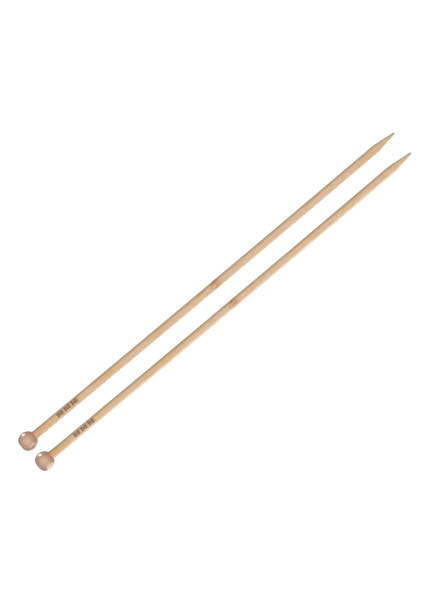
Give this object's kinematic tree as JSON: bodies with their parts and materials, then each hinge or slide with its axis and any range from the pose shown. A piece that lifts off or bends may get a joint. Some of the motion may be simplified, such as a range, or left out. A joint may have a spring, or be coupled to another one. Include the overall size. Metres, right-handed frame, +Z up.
{
  "type": "straight knitting needles",
  "caption": "Straight single-pointed knitting needles of bamboo, each with a round turned wooden knob glued on one end and a tapered point at the other, lying side by side.",
  "frame": {"origin": "centre of the pair's outline, at the level of the surface that the needles lie on", "axes": "+X along the needles from the knobs to the points, +Y from needle b to needle a, +Z up"},
  "size_m": [0.33, 0.0308, 0.0133],
  "materials": {
    "bamboo": "satin oil over fine sanded fibres",
    "beech": "clear gloss lacquer",
    "glue": "cured wood glue, amber"
  },
  "bodies": {
    "needle_a": {"shaft_a": "bamboo", "knob_a": "beech", "glue_a": "glue"},
    "needle_b": {"shaft_b": "bamboo", "knob_b": "beech", "glue_b": "glue"}
  },
  "joints": [
    {"name": "needle_b_lift", "type": "slide", "parent": "needle_a", "child": "needle_b", "axis": [0, 0, 1], "range_m": [0, 0.12]}
  ]
}
